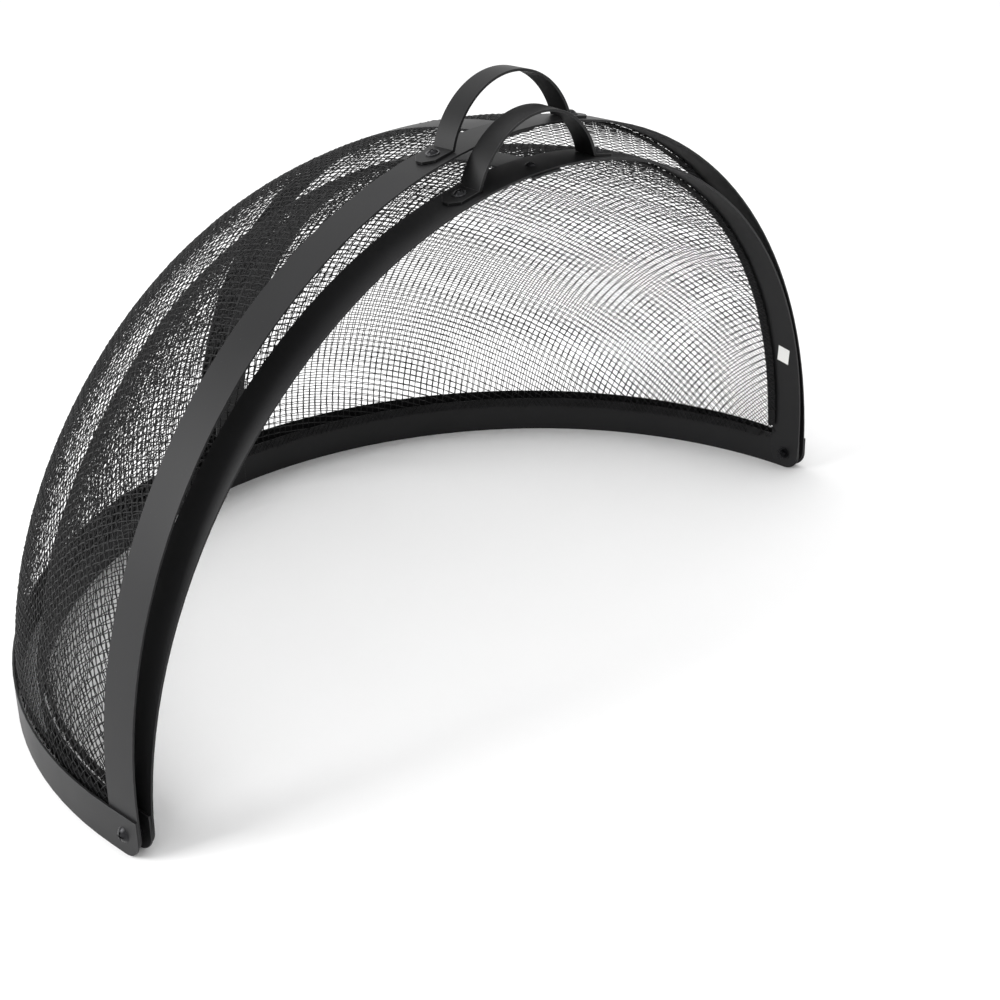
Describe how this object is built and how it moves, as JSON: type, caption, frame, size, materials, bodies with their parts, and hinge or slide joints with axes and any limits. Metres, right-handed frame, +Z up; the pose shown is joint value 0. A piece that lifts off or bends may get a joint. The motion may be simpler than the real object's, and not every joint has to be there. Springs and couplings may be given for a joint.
{
  "type": "folding dome spark screen",
  "caption": "Dome-shaped spark screen for a round fire pit: nested wire-mesh halves in flat steel strips, hinged to fold open, each with a strap handle.",
  "frame": {"origin": "centre of the bounding box at floor level, screen standing folded open", "axes": "+X along the hinge line to the right, +Y to the back of the dome, +Z up"},
  "size_m": [0.9254, 0.5228, 0.5483],
  "materials": {
    "black_powder_coat": "satin black powder coat",
    "wire_mesh": "matt black coated woven wire",
    "fasteners": "black oxide",
    "spacer": "black oxide",
    "label": "matt white label"
  },
  "bodies": {
    "outer_half": {"outer_arch_strip": "black_powder_coat", "outer_base_strip": "black_powder_coat", "outer_centre_rib": "black_powder_coat", "outer_mesh_left": "wire_mesh", "outer_mesh_right": "wire_mesh", "outer_hem_arch": "wire_mesh", "outer_hem_base": "wire_mesh", "outer_handle": "black_powder_coat", "outer_handle_screws": "fasteners", "outer_handle_washers": "fasteners", "outer_handle_nuts": "fasteners", "outer_rib_screws": "fasteners", "outer_rib_nuts": "fasteners", "pivot_screws": "fasteners", "pivot_spacers": "spacer", "pivot_washers": "fasteners", "pivot_lock_nuts": "fasteners"},
    "inner_half": {"inner_arch_strip": "black_powder_coat", "inner_base_strip": "black_powder_coat", "inner_centre_rib": "black_powder_coat", "inner_mesh_left": "wire_mesh", "inner_mesh_right": "wire_mesh", "inner_hem_arch": "wire_mesh", "inner_hem_base": "wire_mesh", "inner_handle": "black_powder_coat", "inner_handle_screws": "fasteners", "inner_handle_washers": "fasteners", "inner_handle_nuts": "fasteners", "inner_rib_screws": "fasteners", "inner_rib_nuts": "fasteners", "label": "label"}
  },
  "joints": [
    {"name": "dome_hinge", "type": "hinge", "parent": "outer_half", "child": "inner_half", "pos_m": [0, -0.21912, 0.0185], "axis": [1, 0, 0], "range_deg": [0, 87]}
  ]
}
